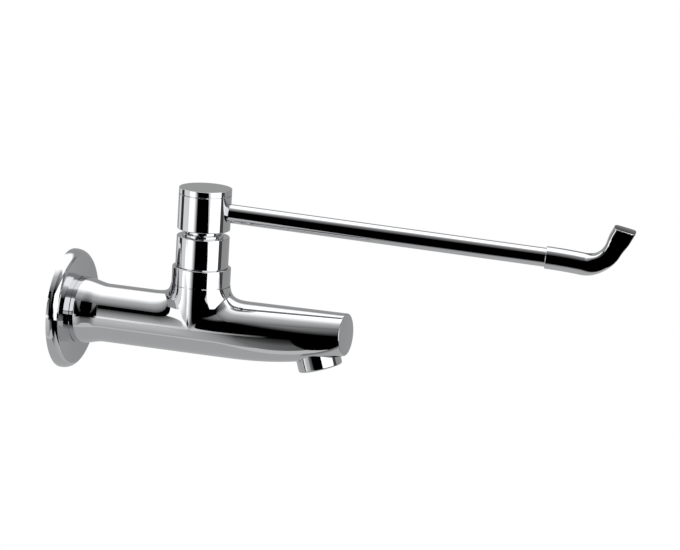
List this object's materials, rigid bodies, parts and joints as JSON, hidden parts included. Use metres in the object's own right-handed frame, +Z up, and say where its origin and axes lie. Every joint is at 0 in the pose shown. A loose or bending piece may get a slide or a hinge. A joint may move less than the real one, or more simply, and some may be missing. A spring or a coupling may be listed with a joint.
{
  "type": "elbow lever tap",
  "caption": "Wall-mounted chrome elbow lever tap with a tapered spout, tilted aerator, quarter-turn cartridge in an upright column, and a long round lever with an upturned grip.",
  "frame": {"origin": "where the inlet thread's axis meets the finished wall, in the plane of the flange's back rim", "axes": "+Z up, -Y out of the wall along the barrel and spout, +X to the right of a person who faces the wall"},
  "size_m": [0.0853, 0.3045, 0.106],
  "materials": {
    "chrome_plate": "polished chrome plating on brass",
    "brass": "turned, unplated",
    "rubber": "moulded, matt",
    "ceramic": "lapped alumina",
    "white_plastic": "moulded acetal",
    "stainless_steel": "bright, machined"
  },
  "bodies": {
    "tap_body": {"body": "chrome_plate", "wall_flange": "chrome_plate", "neck_ring": "chrome_plate", "bonnet_cover": "chrome_plate", "cartridge_bush": "brass", "bush_o_ring": "rubber", "seat_washer": "rubber", "fixed_disc": "ceramic", "slip_washer": "white_plastic", "aerator_shell": "chrome_plate", "aerator_insert": "white_plastic", "aerator_screen": "stainless_steel", "aerator_washer": "rubber"},
    "lever": {"moving_disc": "ceramic", "spindle": "brass", "spindle_o_rings": "rubber", "circlip": "stainless_steel", "handle_hub": "chrome_plate", "handle_screw": "stainless_steel", "spring_washer": "stainless_steel", "top_cap": "chrome_plate", "cap_o_ring": "rubber", "lever_rod": "chrome_plate", "elbow_grip": "chrome_plate"}
  },
  "joints": [
    {"name": "lever_turn", "type": "hinge", "parent": "tap_body", "child": "lever", "pos_m": [0, -0.0745, 0.062], "axis": [0, 0, 1], "range_deg": [-12, 78]}
  ]
}
